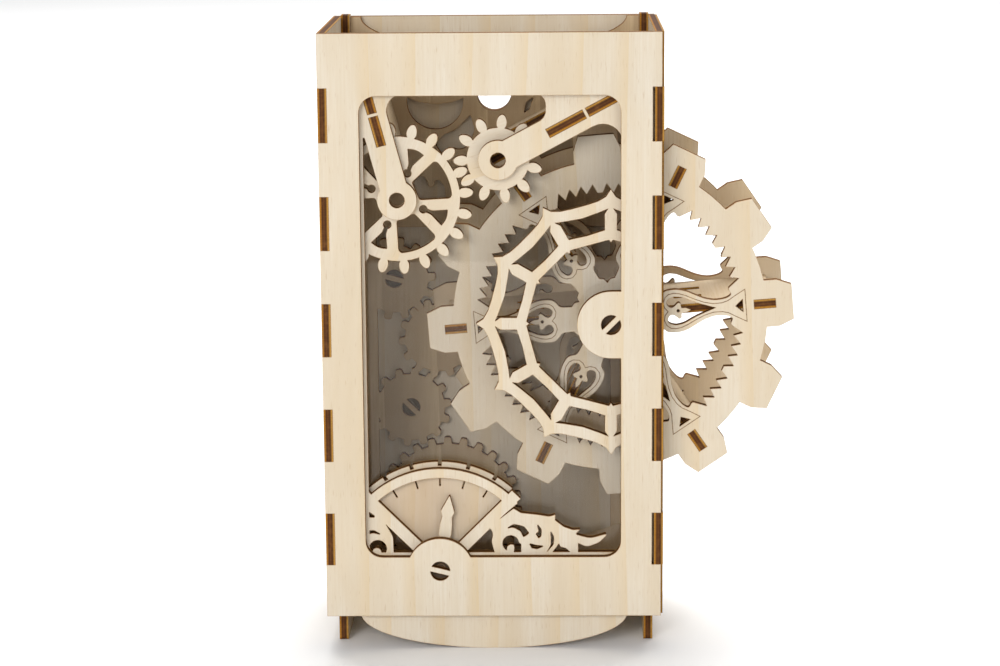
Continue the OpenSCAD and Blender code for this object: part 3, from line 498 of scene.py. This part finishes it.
burnt = bpy.data.materials.new("burnt_score")
burnt.use_nodes = True
burnt_tree = burnt.node_tree
burnt_skin = burnt_tree.nodes["Principled BSDF"]
burnt_place = burnt_tree.nodes.new("ShaderNodeTexCoord")
burnt_noise = burnt_tree.nodes.new("ShaderNodeTexNoise")
burnt_noise.inputs["Scale"].default_value = 1800
burnt_tint = burnt_tree.nodes.new("ShaderNodeValToRGB")
burnt_tint.color_ramp.elements[0].position = 0.35
burnt_tint.color_ramp.elements[0].color = (0.11, 0.055, 0.022, 1)
burnt_tint.color_ramp.elements[1].position = 0.7
burnt_tint.color_ramp.elements[1].color = (0.36, 0.23, 0.12, 1)
burnt_tree.links.new(burnt_place.outputs["Object"], burnt_noise.inputs["Vector"])
burnt_tree.links.new(burnt_noise.outputs["Fac"], burnt_tint.inputs["Fac"])
burnt_tree.links.new(burnt_tint.outputs["Color"], burnt_skin.inputs["Base Color"])
burnt_skin.inputs["Roughness"].default_value = 0.85

for name, y_face, outward in (
    ("front_plate_score_lines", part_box("wheel_front_plate")[0].y, -1),
    ("back_plate_score_lines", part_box("wheel_back_plate")[1].y, 1),
):
    lines_piece = score_lines(name, y_face, outward)
    lines_piece.data.materials.append(burnt)
    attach(lines_piece, "wheel")

# ---- The table and the light ----
# A plain pale table that ends in front of the box, so that the pane gives
# back its edge, under a soft even light from above and in front.
TABLE_FRONT = -0.77
TABLE_BACK = 7.0
TABLE_HALF_WIDTH = 5
TABLE_HALF_DEPTH = (TABLE_BACK - TABLE_FRONT) / 2
table_mesh = bmesh.new()
bmesh.ops.create_grid(table_mesh, x_segments=1, y_segments=1, size=1)
bmesh.ops.scale(table_mesh, vec=(TABLE_HALF_WIDTH, TABLE_HALF_DEPTH, 1), verts=table_mesh.verts[:])
bmesh.ops.translate(table_mesh, vec=(0, TABLE_FRONT + TABLE_HALF_DEPTH, 0), verts=table_mesh.verts[:])
table_data = bpy.data.meshes.new("table")
table_mesh.to_mesh(table_data)
table_mesh.free()
table = bpy.data.objects.new("table", table_data)
bpy.context.scene.collection.objects.link(table)
paper = bpy.data.materials.new("pale_paper")
paper.use_nodes = True
paper_skin = paper.node_tree.nodes["Principled BSDF"]
paper_skin.inputs["Base Color"].default_value = (0.93, 0.93, 0.93, 1)
paper_skin.inputs["Roughness"].default_value = 0.9
table_data.materials.append(paper)

# The sky: pure white to the eye, and to everything else dark below the
# horizon and soft grey above it
DARK_BELOW = 0.03
SOFT_ABOVE = 0.42
sky = bpy.data.worlds.new("studio")
bpy.context.scene.world = sky
sky.use_nodes = True
sky_tree = sky.node_tree
sky_tree.nodes.clear()
direction = sky_tree.nodes.new("ShaderNodeTexCoord")
split = sky_tree.nodes.new("ShaderNodeSeparateXYZ")
rise = sky_tree.nodes.new("ShaderNodeValToRGB")
rise.color_ramp.elements[0].position = 0.0
rise.color_ramp.elements[0].color = (DARK_BELOW, DARK_BELOW, DARK_BELOW, 1)
rise.color_ramp.elements[1].position = 0.06
rise.color_ramp.elements[1].color = (SOFT_ABOVE, SOFT_ABOVE, SOFT_ABOVE, 1)
seen = sky_tree.nodes.new("ShaderNodeLightPath")
pick = sky_tree.nodes.new("ShaderNodeMix")
pick.data_type = "RGBA"
pick.inputs[7].default_value = (1, 1, 1, 1)
glow = sky_tree.nodes.new("ShaderNodeBackground")
sky_out = sky_tree.nodes.new("ShaderNodeOutputWorld")
sky_tree.links.new(direction.outputs["Generated"], split.inputs[0])
sky_tree.links.new(split.outputs["Z"], rise.inputs["Fac"])
sky_tree.links.new(rise.outputs["Color"], pick.inputs[6])
sky_tree.links.new(seen.outputs["Is Camera Ray"], pick.inputs[0])
sky_tree.links.new(pick.outputs[2], glow.inputs["Color"])
sky_tree.links.new(glow.outputs[0], sky_out.inputs["Surface"])


def softbox(name, where, towards, width, power):
    light = bpy.data.lights.new(name, "AREA")
    light.size = width
    light.energy = power
    stand = bpy.data.objects.new(name, light)
    bpy.context.scene.collection.objects.link(stand)
    aim = (Vector(towards) - Vector(where)).to_track_quat("-Z", "Y")
    stand.matrix_world = Matrix.Translation(where) @ aim.to_matrix().to_4x4()


softbox("key", (-0.45, -1.35, 0.52), (0, 0, 0.08), 0.6, 12.5)
softbox("fill", (0.7, -1.3, 0.30), (0, 0, 0.06), 0.9, 4)
softbox("top", (0.2, 1.3, 2.2), (0, 1.1, 0), 2.2, 90)
